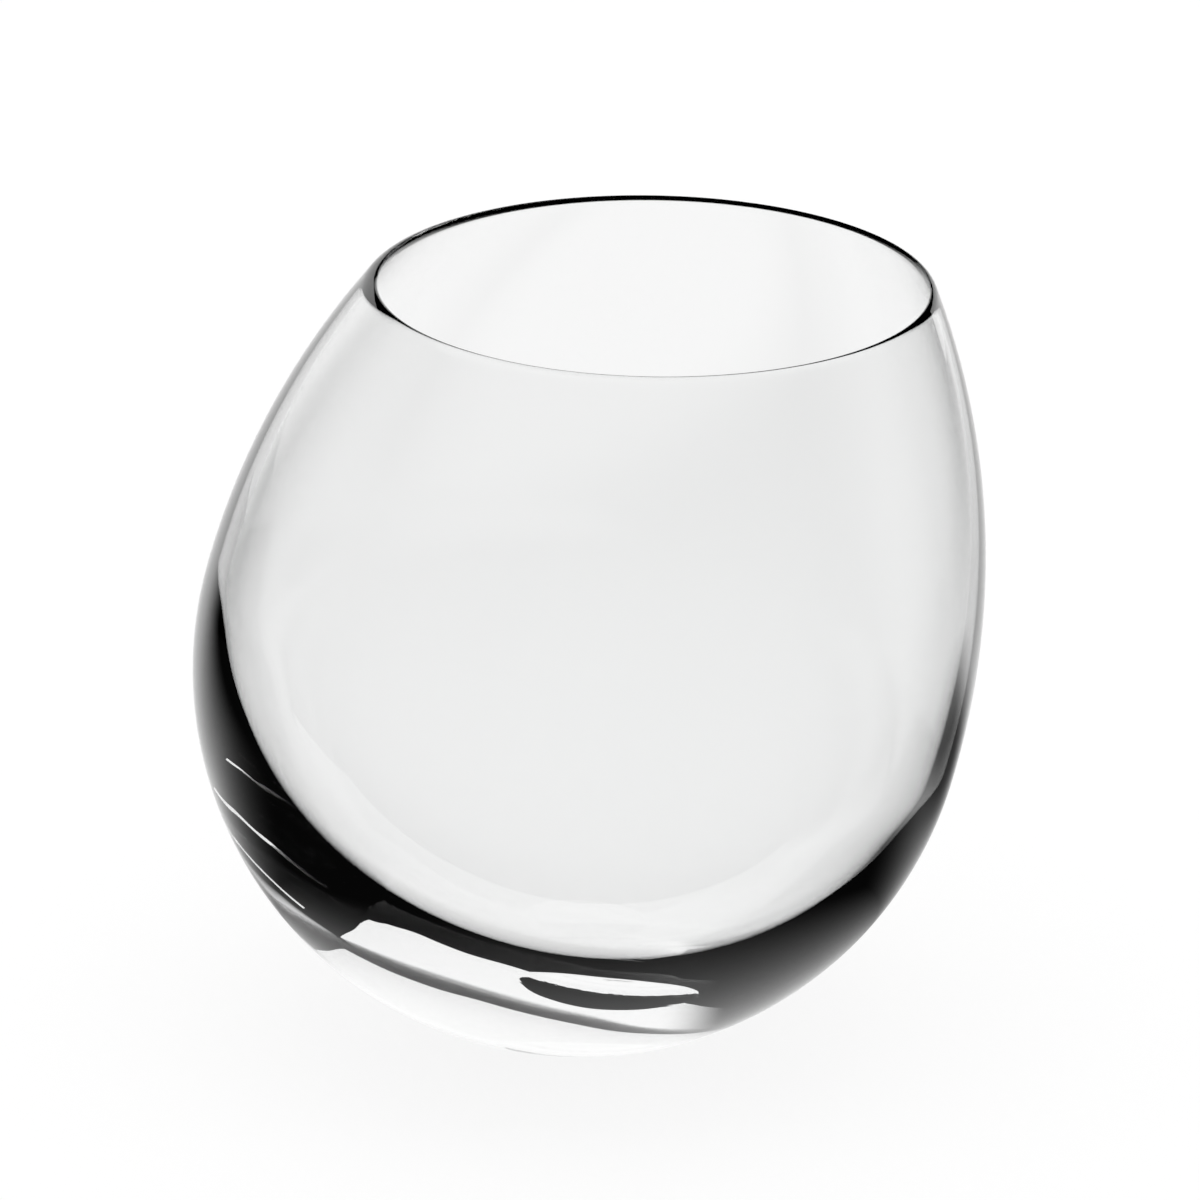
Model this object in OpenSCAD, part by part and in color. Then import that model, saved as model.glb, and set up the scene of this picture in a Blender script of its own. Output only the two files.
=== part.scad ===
// Leaning rocks glass: a ball-shaped tumbler on a ground flat,
// which holds the bowl at a lean while its rim stays level.
// Frame: millimetres, Z up, origin at the middle of the flat, lean towards +X.

/* [Body] */
// Outer diameter of the ball that forms the lower body
ball_diameter = 90; // [86:1:96]
// Lean of the bowl's axis from upright, in degrees
lean_angle = 14.75; // [10:0.25:18]
// Height of the level rim above the middle of the ball
rim_rise = 47.5; // [44:0.1:50]
// Radius of the arc that draws the upper wall inward
shoulder_radius = 94.4; // [88:0.1:104]

/* [Bowl] */
// Wall thickness at the rim
rim_wall = 1.1; // [1:0.1:1.6]
// Wall thickness where the inside is widest
side_wall = 2.2; // [2:0.1:2.8]
// Height of the widest inside above the middle of the ball
inside_rise = 2.9; // [2:0.1:4]
// Roundness of the inside below its widest, as a share of the depth there
floor_roundness = 0.935; // [0.9:0.005:0.96]
// Glass between the inside floor and the seat in the base
floor_wall = 2.2; // [1.8:0.1:3]

/* [Base] */
// Solid glass under the inside floor, along the bowl's axis
base_thickness = 9.1; // [8.5:0.1:11]
// Depth of the seam ring below the middle of the ball, along the bowl's axis
seam_depth = 24; // [20:0.5:28]
// Diameter of the ground flat that the glass rests on
flat_diameter = 17; // [15:0.5:20]

/* [Hidden] */
$fn = 160;
ball_radius = ball_diameter / 2;
flat_radius = flat_diameter / 2;
centre_height = sqrt(pow(ball_radius, 2) - pow(flat_radius, 2));
rim_height = centre_height + rim_rise;
reach = 3 * ball_diameter;

// Outer wall at the middle of the rim, measured along the bowl's axis
rim_along = rim_rise / cos(lean_angle);
rim_radius = ball_radius - shoulder_radius + sqrt(pow(shoulder_radius, 2) - pow(rim_along, 2));

// Inside: a side arc above the widest ring, a knuckle arc below it and a floor arc on the axis,
// each tangent to the next
inside_radius = ball_radius - side_wall;
inside_climb = rim_along - inside_rise;
inside_draw = inside_radius - rim_radius + rim_wall;
side_arc_radius = (pow(inside_climb, 2) + pow(inside_draw, 2)) / (2 * inside_draw);
floor_depth = ball_radius - base_thickness;
inside_depth = floor_depth + inside_rise;
knuckle_radius = floor_roundness * inside_depth;
knuckle_offset = inside_radius - knuckle_radius;
floor_arc_radius = (pow(knuckle_offset, 2) + pow(inside_depth, 2) - pow(knuckle_radius, 2))
    / (2 * (inside_depth - knuckle_radius));
floor_arc_height = floor_arc_radius - floor_depth;
floor_arc_angle = atan2(knuckle_offset, floor_arc_height - inside_rise);

// Puts what is drawn round an upright axis at the ball's middle onto the leaning axis
module leaned() {
    translate([0, 0, centre_height])
        rotate([0, lean_angle, 0])
            children();
}

module quarter_above(height) {
    translate([0, height])
        square(reach);
}

module quarter_below(height) {
    translate([0, height - reach])
        square(reach);
}

module half_space_above(height) {
    translate([-reach / 2, -reach / 2, height])
        cube(reach);
}

module half_space_below(height) {
    translate([-reach / 2, -reach / 2, height - reach])
        cube(reach);
}

module outer_profile() {
    intersection() {
        circle(r = ball_radius);
        quarter_below(0);
    }
    intersection() {
        translate([ball_radius - shoulder_radius, 0])
            circle(r = shoulder_radius);
        quarter_above(0);
    }
}

module inside_profile() {
    intersection() {
        translate([inside_radius - side_arc_radius, inside_rise])
            circle(r = side_arc_radius);
        quarter_above(inside_rise);
    }
    intersection() {
        translate([knuckle_offset, inside_rise])
            circle(r = knuckle_radius);
        translate([knuckle_offset, 0])
            quarter_below(inside_rise);
    }
    intersection() {
        translate([0, floor_arc_height])
            circle(r = floor_arc_radius);
        polygon([
            [0, floor_arc_height],
            [0, floor_arc_height - reach],
            [reach * tan(floor_arc_angle), floor_arc_height - reach]
        ]);
    }
}

module outer_body() {
    rotate_extrude()
        outer_profile();
}

module inside_body() {
    rotate_extrude()
        inside_profile();
}

// What the base fills: everything below the seam ring, outside the bowl's round bottom
module below_seat() {
    difference() {
        half_space_below(-seam_depth);
        translate([0, 0, floor_arc_height])
            sphere(r = floor_arc_radius + floor_wall);
    }
}

module bowl() {
    color([0.9, 0.94, 0.95, 0.35])
        difference() {
            leaned()
                difference() {
                    outer_body();
                    inside_body();
                    below_seat();
                }
            half_space_above(rim_height);
        }
}

module base() {
    color([0.86, 0.91, 0.93, 0.45])
        difference() {
            leaned()
                intersection() {
                    outer_body();
                    below_seat();
                }
            half_space_below(0);
        }
}

bowl();
base();
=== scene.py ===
import math

import bpy
import numpy as np
from mathutils import Matrix


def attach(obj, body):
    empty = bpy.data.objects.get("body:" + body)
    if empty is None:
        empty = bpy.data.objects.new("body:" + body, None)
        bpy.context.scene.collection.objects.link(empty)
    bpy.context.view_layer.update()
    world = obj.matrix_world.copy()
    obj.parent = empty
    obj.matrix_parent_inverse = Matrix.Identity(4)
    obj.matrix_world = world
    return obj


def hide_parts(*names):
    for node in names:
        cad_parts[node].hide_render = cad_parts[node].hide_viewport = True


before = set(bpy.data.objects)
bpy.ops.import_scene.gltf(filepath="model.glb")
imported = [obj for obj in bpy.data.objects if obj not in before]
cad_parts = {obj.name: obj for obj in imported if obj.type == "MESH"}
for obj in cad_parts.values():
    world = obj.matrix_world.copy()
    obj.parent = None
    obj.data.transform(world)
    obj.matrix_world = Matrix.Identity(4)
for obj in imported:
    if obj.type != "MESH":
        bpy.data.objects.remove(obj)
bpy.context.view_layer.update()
scene = bpy.context.scene
millimetre = 0.001
print("frame loaded, nodes:", sorted(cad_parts))

# the body of the glass, in millimetres and degrees, as the solids have it
glassForm = {
    "ballRadius": 45.0,
    "lean": 14.75,
    "rimRise": 47.5,
    "shoulderArc": 94.4,
    "rimWall": 1.1,
    "sideWall": 2.2,
    "insideRise": 2.9,
    "floorRoundness": 0.935,
    "floorWall": 2.2,
    "baseThickness": 9.1,
    "seamDepth": 24.0,
    "flatRadius": 8.5,
    "columns": 256,
    "sharpAngle": 20.0,
}

ballRadius = glassForm["ballRadius"]
shoulderArc = glassForm["shoulderArc"]
insideRise = glassForm["insideRise"]
seamDepth = glassForm["seamDepth"]
flatRadius = glassForm["flatRadius"]
columns = glassForm["columns"]
lean = math.radians(glassForm["lean"])

# the ball's middle stands over the middle of the flat
centreHeight = math.sqrt(ballRadius**2 - flatRadius**2)
rimHeight = centreHeight + glassForm["rimRise"]
ballMiddle = np.array([0.0, 0.0, centreHeight])
upward = np.array([0.0, 0.0, 1.0])

# leaning axis, and the spokes that stand square to it all the way round
leanAxis = np.array([math.sin(lean), 0.0, math.cos(lean)])
leanSide = np.array([math.cos(lean), 0.0, -math.sin(lean)])
turn = np.linspace(0.0, 2.0 * math.pi, columns, endpoint=False)
spokes = np.outer(np.cos(turn), leanSide) + np.outer(np.sin(turn), [0.0, 1.0, 0.0])

# inside: side arc, knuckle arc and floor arc, each tangent to the next
rimAlong = glassForm["rimRise"] / math.cos(lean)
rimRadius = ballRadius - shoulderArc + math.sqrt(shoulderArc**2 - rimAlong**2)
insideRadius = ballRadius - glassForm["sideWall"]
insideClimb = rimAlong - insideRise
insideDraw = insideRadius - rimRadius + glassForm["rimWall"]
sideArc = (insideClimb**2 + insideDraw**2) / (2.0 * insideDraw)
floorDepth = ballRadius - glassForm["baseThickness"]
insideDepth = floorDepth + insideRise
knuckle = glassForm["floorRoundness"] * insideDepth
knuckleOut = insideRadius - knuckle
floorArc = (knuckleOut**2 + insideDepth**2 - knuckle**2) / (2.0 * (insideDepth - knuckle))
floorArcHeight = floorArc - floorDepth
floorArcAngle = math.atan2(knuckleOut, floorArcHeight - insideRise)

# seat between the two pieces, a ball a little larger than the floor arc
seatArc = floorArc + glassForm["floorWall"]
seatAngle = math.acos((floorArcHeight + seamDepth) / seatArc)
seatEdge = seatArc * math.sin(seatAngle)
seatPole = ballMiddle + (floorArcHeight - seatArc) * leanAxis
seamAngle = math.acos(seamDepth / ballRadius)
seamEdge = ballRadius * math.sin(seamAngle)


def onLean(along, out):
    # point = ball's middle + along x leaning axis + out x spoke, for whole rows at once
    along = np.broadcast_to(along, np.broadcast_shapes(np.shape(along), (1, columns)))
    out = np.broadcast_to(out, np.broadcast_shapes(np.shape(out), (1, columns)))
    return ballMiddle + along[..., None] * leanAxis + out[..., None] * spokes


def arcRows(along, out, radius, turns):
    # rows on one arc: along - radius x cosine on the axis, out + radius x sine on the spokes
    turns = turns[:, None]
    return onLean(along - radius * np.cos(turns), out + radius * np.sin(turns))


def landRows(start, stop, count):
    # rows on the flat ring at the seam, without its two edges
    return onLean(-seamDepth, np.linspace(start, stop, count + 2)[1:-1, None])


def shoulderOut(along):
    # outer wall above the ball's middle: one large arc, tangent to the ball
    return ballRadius - shoulderArc + np.sqrt(shoulderArc**2 - along**2)


def sideOut(along):
    # inner wall above its widest ring: one arc, tangent to the knuckle
    return insideRadius - sideArc + np.sqrt(sideArc**2 - (along - insideRise) ** 2)


# how far up the axis the search goes, in ball radii, and how often it halves
levelSearch = {
    "reach": 1.5,
    "halvings": 50,
}


def alongAtLevel(wallOut, level):
    # halving search for where a wall reaches one level, for all spokes together
    low = np.zeros(columns)
    high = np.full(columns, levelSearch["reach"] * ballRadius)
    for halving in range(levelSearch["halvings"]):
        middle = (low + high) / 2.0
        height = centreHeight + middle * leanAxis[2] + wallOut(middle) * spokes[:, 2]
        low = np.where(height < level, middle, low)
        high = np.where(height < level, high, middle)
    return (low + high) / 2.0


def curveBetween(start, startPull, endPull, end, count):
    # cubic curve from the start to the end, led by the two pulls, without its two ends
    s = np.linspace(0.0, 1.0, count + 2)[1:-1, None, None]
    return (
        (1 - s) ** 3 * start
        + 3 * (1 - s) ** 2 * s * startPull
        + 3 * (1 - s) * s**2 * endPull
        + s**3 * end
    )


def lathedMesh(name, rows, firstPole, lastPole, zones):
    # rows of points become a closed skin: a fan, bands of quads and a fan
    rowCount = len(rows)
    points = np.concatenate([[firstPole], rows.reshape(-1, 3), [lastPole]]) * millimetre
    here = np.arange(columns)
    after = (here + 1) % columns
    first = 1 + np.arange(rowCount - 1)[:, None] * columns
    quads = np.stack(
        [first + here, first + after, first + columns + after, first + columns + here], axis=-1
    ).reshape(-1, 4)
    lastRow = 1 + (rowCount - 1) * columns
    openFan = np.stack([np.zeros(columns, int), 1 + after, 1 + here], axis=-1)
    shutFan = np.stack(
        [lastRow + here, lastRow + after, np.full(columns, len(points) - 1)], axis=-1
    )
    mesh = bpy.data.meshes.new(name)
    mesh.from_pydata(points.tolist(), [], openFan.tolist() + quads.tolist() + shutFan.tolist())

    # each zone is a run of bands that takes one material of the piece
    band = np.concatenate([[0], 1 + np.arange(rowCount - 1), [rowCount]])
    bandOfFace = np.repeat(band, columns)
    slotOfFace = np.zeros(len(bandOfFace), np.int32)
    for start, stop, slotNumber in zones:
        slotOfFace[(bandOfFace >= start) & (bandOfFace < stop)] = slotNumber
    mesh.polygons.foreach_set("material_index", slotOfFace)
    mesh.polygons.foreach_set("use_smooth", np.ones(len(mesh.polygons), bool))
    mesh.update()
    mesh.set_sharp_from_angle(angle=math.radians(glassForm["sharpAngle"]))
    return mesh


def addPiece(mesh, node, slotName, *materials):
    # one object at the origin for one node of the frame
    piece = bpy.data.objects.new(mesh.name, mesh)
    scene.collection.objects.link(piece)
    for material in materials:
        mesh.materials.append(material)
    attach(piece, "root")
    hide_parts(node)
    print("made", mesh.name, len(mesh.polygons), "faces")


# sizes of the waves are per metre, and their depths are in metres
glassFinish = {
    "indexOfRefraction": 1.465,
    "clearTint": (1.0, 1.0, 1.0, 1.0),
    "deepTint": (0.985, 0.99, 0.988, 1.0),
    "driftSize": 18.0,
    "driftDetail": 2.0,
    "waveDetail": 1.0,
    "bowlWaveSize": 30.0,
    "bowlWaveDepth": 0.00001,
    "baseWaveSize": 60.0,
    "baseWaveDepth": 0.00006,
    "flatWaveSize": 900.0,
    "flatWaveDepth": 0.00001,
}


def polishGroup():
    # height = slow waves left by the polish, tint = a faint drift from clear to deep in the melt
    group = bpy.data.node_groups.new("firePolish", "ShaderNodeTree")
    face = group.interface
    face.new_socket(name="Wave Size", in_out="INPUT", socket_type="NodeSocketFloat")
    face.new_socket(name="Clear Tint", in_out="INPUT", socket_type="NodeSocketColor")
    face.new_socket(name="Deep Tint", in_out="INPUT", socket_type="NodeSocketColor")
    face.new_socket(name="Tint", in_out="OUTPUT", socket_type="NodeSocketColor")
    face.new_socket(name="Height", in_out="OUTPUT", socket_type="NodeSocketFloat")
    nodes = group.nodes
    links = group.links
    given = nodes.new("NodeGroupInput")
    result = nodes.new("NodeGroupOutput")
    place = nodes.new("ShaderNodeTexCoord")
    wave = nodes.new("ShaderNodeTexNoise")
    wave.inputs["Detail"].default_value = glassFinish["waveDetail"]
    drift = nodes.new("ShaderNodeTexNoise")
    drift.inputs["Scale"].default_value = glassFinish["driftSize"]
    drift.inputs["Detail"].default_value = glassFinish["driftDetail"]
    tint = nodes.new("ShaderNodeMix")
    tint.data_type = "RGBA"
    links.new(place.outputs["Object"], wave.inputs["Vector"])
    links.new(place.outputs["Object"], drift.inputs["Vector"])
    links.new(given.outputs["Wave Size"], wave.inputs["Scale"])
    links.new(drift.outputs["Fac"], tint.inputs["Factor"])
    links.new(given.outputs["Clear Tint"], tint.inputs["A"])
    links.new(given.outputs["Deep Tint"], tint.inputs["B"])
    links.new(tint.outputs["Result"], result.inputs["Tint"])
    links.new(wave.outputs["Fac"], result.inputs["Height"])
    return group


firePolish = polishGroup()


def clearGlass(name, waveSize, waveDepth):
    # smooth clear glass, tinted and waved by the shared polish effect
    material = bpy.data.materials.new(name)
    material.use_nodes = True
    nodes = material.node_tree.nodes
    links = material.node_tree.links
    shader = nodes["Principled BSDF"]
    shader.inputs["Roughness"].default_value = 0.0
    shader.inputs["IOR"].default_value = glassFinish["indexOfRefraction"]
    shader.inputs["Transmission Weight"].default_value = 1.0
    polish = nodes.new("ShaderNodeGroup")
    polish.node_tree = firePolish
    polish.inputs["Wave Size"].default_value = waveSize
    polish.inputs["Clear Tint"].default_value = glassFinish["clearTint"]
    polish.inputs["Deep Tint"].default_value = glassFinish["deepTint"]
    links.new(polish.outputs["Tint"], shader.inputs["Base Color"])
    bump = nodes.new("ShaderNodeBump")
    bump.inputs["Strength"].default_value = 1.0
    bump.inputs["Distance"].default_value = waveDepth
    links.new(polish.outputs["Height"], bump.inputs["Height"])
    links.new(bump.outputs["Normal"], shader.inputs["Normal"])
    return material


def fusedSeat(name):
    # the two pieces are one melt here, so nothing shows at the seat
    material = bpy.data.materials.new(name)
    material.use_nodes = True
    shader = material.node_tree.nodes["Principled BSDF"]
    shader.inputs["Alpha"].default_value = 0.0
    shader.inputs["Transmission Weight"].default_value = 1.0
    shader.inputs["Roughness"].default_value = 0.0
    return material


bowlGlass = clearGlass("bowlGlass", glassFinish["bowlWaveSize"], glassFinish["bowlWaveDepth"])
baseGlass = clearGlass("baseGlass", glassFinish["baseWaveSize"], glassFinish["baseWaveDepth"])
flatGlass = clearGlass("flatGlass", glassFinish["flatWaveSize"], glassFinish["flatWaveDepth"])
seatGlass = fusedSeat("seatGlass")

# rows of points in each part of the bowl, depth of the lip in millimetres, pull as a share
bowlRows = {
    "seat": 28,
    "land": 3,
    "ball": 40,
    "shoulder": 64,
    "rim": 6,
    "side": 64,
    "knuckle": 36,
    "floor": 40,
    "rimRound": 0.75,
    "rimPull": 0.55,
}


def bowlMesh():
    # profile carried round the leaning axis: seat, land, ball, shoulder, round rim, inside, floor
    rightAngle = math.pi / 2.0
    seatTurns = np.linspace(0.0, seatAngle, bowlRows["seat"] + 1)[1:]
    seatPart = arcRows(floorArcHeight, 0.0, seatArc, seatTurns)
    landPart = landRows(seatEdge, seamEdge, bowlRows["land"])
    ballTurns = np.linspace(seamAngle, rightAngle, bowlRows["ball"], endpoint=False)
    ballPart = arcRows(0.0, 0.0, ballRadius, ballTurns)

    # both walls stop a little under the level rim, and a round lip joins them
    lipLevel = rimHeight - bowlRows["rimRound"]
    outerLip = alongAtLevel(shoulderOut, lipLevel)
    innerLip = alongAtLevel(sideOut, lipLevel)
    outerTop = alongAtLevel(shoulderOut, rimHeight)
    innerTop = alongAtLevel(sideOut, rimHeight)
    up = np.linspace(0.0, 1.0, bowlRows["shoulder"])[:, None]
    shoulderPart = onLean(up * outerLip, shoulderOut(up * outerLip))
    down = np.linspace(1.0, 0.0, bowlRows["side"])[:, None]
    sideAlong = insideRise + down * (innerLip - insideRise)
    sidePart = onLean(sideAlong, sideOut(sideAlong))
    outerStart = shoulderPart[-1]
    innerStart = sidePart[0]
    outerEdge = onLean(outerTop, shoulderOut(outerTop))[0]
    innerEdge = onLean(innerTop, sideOut(innerTop))[0]
    crest = (outerEdge + innerEdge) / 2.0
    halfRim = (innerEdge - outerEdge) / 2.0
    pull = bowlRows["rimPull"]
    risePart = curveBetween(
        outerStart,
        outerStart + pull * (outerEdge - outerStart),
        crest - pull * halfRim,
        crest,
        bowlRows["rim"],
    )
    fallPart = curveBetween(
        crest,
        crest + pull * halfRim,
        innerStart + pull * (innerEdge - innerStart),
        innerStart,
        bowlRows["rim"],
    )

    # the inside runs down to its lowest point, which is the last pole
    knuckleTurns = np.linspace(rightAngle, floorArcAngle, bowlRows["knuckle"] + 1)[1:]
    knucklePart = arcRows(insideRise, knuckleOut, knuckle, knuckleTurns)
    floorTurns = np.linspace(floorArcAngle, 0.0, bowlRows["floor"] + 1)[1:-1]
    floorPart = arcRows(floorArcHeight, 0.0, floorArc, floorTurns)
    rows = np.concatenate(
        [
            seatPart,
            landPart,
            ballPart,
            shoulderPart,
            risePart,
            crest[None],
            fallPart,
            sidePart,
            knucklePart,
            floorPart,
        ]
    )
    underside = len(seatPart) + len(landPart)
    floorPole = ballMiddle - floorDepth * leanAxis
    return lathedMesh("bowl_skin", rows, seatPole, floorPole, [(0, underside + 1, 1)])


# rows of points in each part of the base
baseRows = {
    "flat": 16,
    "ball": 64,
    "land": 3,
    "seat": 28,
}


def baseMesh():
    # level flat, then the ball along upright meridians to the leaning seam ring, land and seat
    seamRing = onLean(-seamDepth, seamEdge)[0]
    meridian = np.arctan2(seamRing[:, 1], seamRing[:, 0])
    outward = np.stack([np.cos(meridian), np.sin(meridian), np.zeros(columns)], axis=-1)
    flatPart = np.linspace(0.0, flatRadius, baseRows["flat"] + 1)[1:, None, None] * outward
    flatAngle = math.asin(flatRadius / ballRadius)
    seamDip = np.arccos((centreHeight - seamRing[:, 2]) / ballRadius)
    share = np.linspace(0.0, 1.0, baseRows["ball"] + 1)[1:, None]
    dip = flatAngle + share * (seamDip - flatAngle)
    ballPart = (
        ballMiddle
        + ballRadius * np.sin(dip)[..., None] * outward
        - ballRadius * np.cos(dip)[..., None] * upward
    )
    landPart = landRows(seamEdge, seatEdge, baseRows["land"])
    seatTurns = np.linspace(seatAngle, 0.0, baseRows["seat"] + 1)[:-1]
    seatPart = arcRows(floorArcHeight, 0.0, seatArc, seatTurns)
    rows = np.concatenate([flatPart, ballPart, landPart, seatPart])
    outside = len(flatPart) + len(ballPart)
    zones = [(0, len(flatPart), 2), (outside, len(rows) + 1, 1)]
    return lathedMesh("base_skin", rows, np.zeros(3), seatPole, zones)


addPiece(bowlMesh(), "bowl", "bowl_glass", bowlGlass, seatGlass)
addPiece(baseMesh(), "base", "base_glass", baseGlass, seatGlass, flatGlass)

# white sheets round the glass and a dark room, in millimetres; levels and shares are of white
studio = {
    "sheetHalfWidth": 600.0,
    "sheetFront": -600.0,
    "sheetBack": 420.0,
    "drop": 0.05,
    "sideSpread": 0.5,
    "sideWhite": 35.0,
    "sideFade": 135.0,
    "fadeFront": -8.0,
    "fadeBack": 55.0,
    "footWhite": 25.0,
    "footFade": 60.0,
    "paintedSpotRight": 85.0,
    "paintedSpotBack": 52.0,
    "paintedSpotInner": 10.0,
    "paintedSpotOuter": 48.0,
    "paintedSpotShare": 0.1,
    "cardLeft": -480.0,
    "cardFade": -240.0,
    "cardRight": 345.0,
    "cardLeftTop": 345.0,
    "cardRightTop": 150.0,
    "stripOut": 500.0,
    "stripFront": -90.0,
    "stripBack": 400.0,
    "stripTop": 14.0,
    "roomLevel": 0.002,
    "throughLevel": 0.935,
    "nearStart": 50.0,
    "nearEnd": 220.0,
    "mirroredOnce": 0.5,
    "mirroredTwice": 1.5,
    "shadowShare": 0.12,
    "mattColour": (0.9, 0.9, 0.9, 1.0),
    "lampSize": 1200.0,
    "lampHeight": 1500.0,
    "lampPower": 8.0,
    "bounces": 18,
}


def feed(tree, value, socket):
    # another socket is linked to this one, and a plain value is set on it
    if isinstance(value, bpy.types.NodeSocket):
        tree.links.new(value, socket)
    else:
        socket.default_value = value


def mathNode(tree, operation, *values):
    # result = the operation on the values
    node = tree.nodes.new("ShaderNodeMath")
    node.operation = operation
    for value, socket in zip(values, node.inputs):
        feed(tree, value, socket)
    return node.outputs[0]


def mixNode(tree, factor, low, high):
    # result = low + factor x (high - low)
    node = tree.nodes.new("ShaderNodeMix")
    feed(tree, factor, node.inputs["Factor"])
    feed(tree, low, node.inputs["A"])
    feed(tree, high, node.inputs["B"])
    return node.outputs["Result"]


def softStep(tree, value, start, stop):
    # 0 at the start, 1 at the stop and smooth between them, in millimetres
    step = tree.nodes.new("ShaderNodeMapRange")
    step.interpolation_type = "SMOOTHSTEP"
    falls = start > stop
    step.inputs["From Min"].default_value = min(start, stop) * millimetre
    step.inputs["From Max"].default_value = max(start, stop) * millimetre
    step.inputs["To Min"].default_value = 1.0 if falls else 0.0
    step.inputs["To Max"].default_value = 0.0 if falls else 1.0
    feed(tree, value, step.inputs["Value"])
    return step.outputs["Result"]


def distanceFrom(tree, place, right, back):
    # distance to one point of the floor, which is given in millimetres
    node = tree.nodes.new("ShaderNodeVectorMath")
    node.operation = "DISTANCE"
    feed(tree, place.outputs["Object"], node.inputs[0])
    feed(tree, (right * millimetre, back * millimetre, 0.0), node.inputs[1])
    return node.outputs["Value"]


def seenLevel(tree, through, mirrored):
    # level = white straight to the camera, through behind glass, mirrored after a first mirroring
    path = tree.nodes.new("ShaderNodeLightPath")
    straight = mixNode(tree, path.outputs["Is Camera Ray"], through, 1.0)
    depth = path.outputs["Glossy Depth"]
    isMirrored = mathNode(tree, "GREATER_THAN", depth, studio["mirroredOnce"])
    return mixNode(tree, isMirrored, straight, mirrored)


def floorFade(tree, place, parts):
    # white under the foot and in a field that widens to the back, fading to the front and sides
    aside = mathNode(tree, "ABSOLUTE", parts.outputs["X"])
    outside = mathNode(tree, "MULTIPLY_ADD", parts.outputs["Y"], -studio["sideSpread"], aside)
    inward = softStep(tree, outside, studio["sideFade"], studio["sideWhite"])
    backward = softStep(tree, parts.outputs["Y"], studio["fadeFront"], studio["fadeBack"])
    field = mathNode(tree, "MULTIPLY", backward, inward)
    fromFoot = distanceFrom(tree, place, 0.0, 0.0)
    underFoot = softStep(tree, fromFoot, studio["footFade"], studio["footWhite"])
    white = mathNode(tree, "MAXIMUM", field, underFoot)

    # a soft dark spot of painted shade beside the glass, seen only by mirrored light, so the
    # right-hand wall shows it as a painted dark reflection band
    fromSpot = distanceFrom(tree, place, studio["paintedSpotRight"], studio["paintedSpotBack"])
    clear = softStep(tree, fromSpot, studio["paintedSpotInner"], studio["paintedSpotOuter"])
    shade = mixNode(tree, clear, studio["paintedSpotShare"], 1.0)
    return mathNode(tree, "MULTIPLY", white, shade)


def cardFade(tree, place, parts):
    # white, fading out at the left-hand edge
    return softStep(tree, parts.outputs["X"], studio["cardLeft"], studio["cardFade"])


def stripFade(tree, place, parts):
    # white only after a second mirroring, so that it lights the thick glass and not the thin wall
    path = tree.nodes.new("ShaderNodeLightPath")
    depth = path.outputs["Glossy Depth"]
    return mathNode(tree, "GREATER_THAN", depth, studio["mirroredTwice"])


def whiteSheet(name, fade):
    # plain white with a faint shadow to the camera, faded where the glass mirrors it, and a pale
    # matt sheet to all other light
    material = bpy.data.materials.new(name)
    material.use_nodes = True
    tree = material.node_tree
    tree.nodes.clear()
    output = tree.nodes.new("ShaderNodeOutputMaterial")
    place = tree.nodes.new("ShaderNodeTexCoord")
    parts = tree.nodes.new("ShaderNodeSeparateXYZ")
    feed(tree, place.outputs["Object"], parts.inputs[0])

    # what lies near the glass stays white through it
    near = softStep(tree, parts.outputs["Y"], studio["nearEnd"], studio["nearStart"])
    through = mixNode(tree, near, studio["throughLevel"], 1.0)
    glow = tree.nodes.new("ShaderNodeEmission")
    level = seenLevel(tree, through, fade(tree, place, parts))
    feed(tree, level, glow.inputs["Strength"])
    matt = tree.nodes.new("ShaderNodeBsdfDiffuse")
    feed(tree, studio["mattColour"], matt.inputs["Color"])
    path = tree.nodes.new("ShaderNodeLightPath")
    unshaded = 1.0 - studio["shadowShare"]
    plain = mathNode(tree, "MULTIPLY", path.outputs["Is Camera Ray"], unshaded)
    seen = mathNode(tree, "MAXIMUM", plain, path.outputs["Is Glossy Ray"])
    shown = mathNode(tree, "MAXIMUM", seen, path.outputs["Is Transmission Ray"])
    mix = tree.nodes.new("ShaderNodeMixShader")
    feed(tree, shown, mix.inputs[0])
    feed(tree, matt.outputs[0], mix.inputs[1])
    feed(tree, glow.outputs[0], mix.inputs[2])
    feed(tree, mix.outputs[0], output.inputs["Surface"])
    return material


def stageSheet(name, fade, corners):
    # one flat quad that belongs to the stage
    mesh = bpy.data.meshes.new(name)
    mesh.from_pydata((np.array(corners) * millimetre).tolist(), [], [(0, 1, 2, 3)])
    mesh.materials.append(whiteSheet(name, fade))
    sheet = bpy.data.objects.new(name, mesh)
    scene.collection.objects.link(sheet)
    return sheet


stageSheet(
    "floorSheet",
    floorFade,
    [
        (-studio["sheetHalfWidth"], studio["sheetFront"], -studio["drop"]),
        (studio["sheetHalfWidth"], studio["sheetFront"], -studio["drop"]),
        (studio["sheetHalfWidth"], studio["sheetBack"], -studio["drop"]),
        (-studio["sheetHalfWidth"], studio["sheetBack"], -studio["drop"]),
    ],
)
backCard = stageSheet(
    "backCard",
    cardFade,
    [
        (studio["cardLeft"], studio["sheetBack"], 0.0),
        (studio["cardRight"], studio["sheetBack"], 0.0),
        (studio["cardRight"], studio["sheetBack"], studio["cardRightTop"]),
        (studio["cardLeft"], studio["sheetBack"], studio["cardLeftTop"]),
    ],
)
backCard.visible_camera = False
sideStrip = stageSheet(
    "sideStrip",
    stripFade,
    [
        (studio["stripOut"], studio["stripFront"], 0.0),
        (studio["stripOut"], studio["stripBack"], 0.0),
        (studio["stripOut"], studio["stripBack"], studio["stripTop"]),
        (studio["stripOut"], studio["stripFront"], studio["stripTop"]),
    ],
)
sideStrip.visible_camera = False


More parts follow.
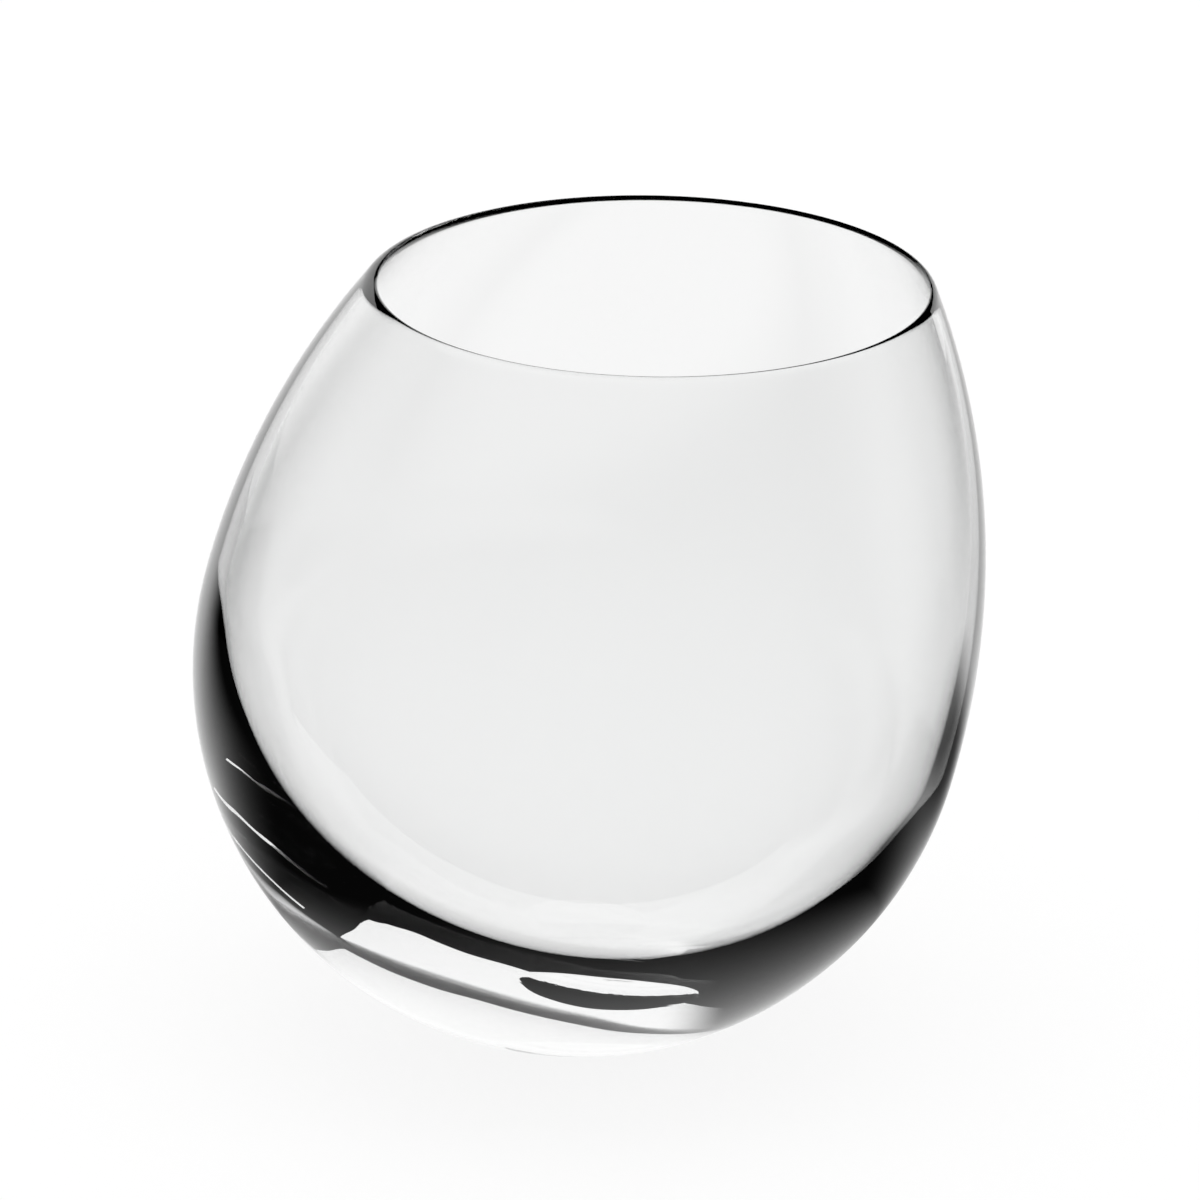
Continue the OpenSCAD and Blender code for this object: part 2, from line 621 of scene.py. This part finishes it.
def darkRoom():
    # white behind everything that is seen straight, and a dark room in what the glass mirrors
    world = bpy.data.worlds.new("studioRoom")
    world.use_nodes = True
    tree = world.node_tree
    room = tree.nodes["Background"]
    room.inputs["Color"].default_value = (1.0, 1.0, 1.0, 1.0)
    level = seenLevel(tree, studio["throughLevel"], studio["roomLevel"])
    feed(tree, level, room.inputs["Strength"])
    scene.world = world


def softLamp():
    # a wide lamp overhead gives the floor its soft shadow; the glass doesn't mirror it
    data = bpy.data.lights.new("softLamp", "AREA")
    data.size = studio["lampSize"] * millimetre
    data.energy = studio["lampPower"]
    lamp = bpy.data.objects.new("softLamp", data)
    lamp.location = (0.0, 0.0, studio["lampHeight"] * millimetre)
    lamp.visible_camera = False
    lamp.visible_glossy = False
    lamp.visible_transmission = False
    scene.collection.objects.link(lamp)


softLamp()
darkRoom()
print("stage set")

# camera of the photograph: turns in degrees, lengths in millimetres, distance from the ball's middle
view = {
    "distance": 1170.0,
    "elevation": 21.674,
    "yaw": 0.104,
    "pitch": 0.393,
    "roll": 0.867,
    "focalPixels": 10082.2,
    "framePixels": 1200.0,
    "sensor": 36.0,
    "clipStart": 10.0,
}


def setCamera():
    # looks along +Y and down by the elevation, then yaws, pitches and rolls a little
    elevation = math.radians(view["elevation"])
    yaw = math.radians(view["yaw"])
    pitch = math.radians(view["pitch"])
    roll = math.radians(view["roll"])
    away = np.array([0.0, -math.cos(elevation), math.sin(elevation)])
    right = np.array([1.0, 0.0, 0.0])
    up = np.cross(right, -away)
    yawedRight = math.cos(yaw) * right + math.sin(yaw) * away
    yawedAhead = math.sin(yaw) * right - math.cos(yaw) * away
    pitchedUp = math.cos(pitch) * up - math.sin(pitch) * yawedAhead
    ahead = math.sin(pitch) * up + math.cos(pitch) * yawedAhead
    rolledRight = math.cos(roll) * yawedRight + math.sin(roll) * pitchedUp
    rolledUp = math.cos(roll) * pitchedUp - math.sin(roll) * yawedRight
    turned = np.eye(4)
    turned[:3, 0] = rolledRight
    turned[:3, 1] = rolledUp
    turned[:3, 2] = -ahead
    turned[:3, 3] = (ballMiddle + view["distance"] * away) * millimetre
    data = bpy.data.cameras.new("photoCamera")
    data.sensor_width = view["sensor"]
    data.lens = view["focalPixels"] / view["framePixels"] * view["sensor"]
    data.clip_start = view["clipStart"] * millimetre
    camera = bpy.data.objects.new("photoCamera", data)
    scene.collection.objects.link(camera)
    camera.matrix_world = Matrix(turned.tolist())
    scene.camera = camera


setCamera()
scene.view_settings.view_transform = "Standard"
# light runs to and fro in the thick base; what stays trapped in the thin wall goes dark
scene.cycles.max_bounces = studio["bounces"]
scene.cycles.glossy_bounces = studio["bounces"]
scene.cycles.transmission_bounces = studio["bounces"]
scene.cycles.transparent_max_bounces = studio["bounces"]
print("camera set")
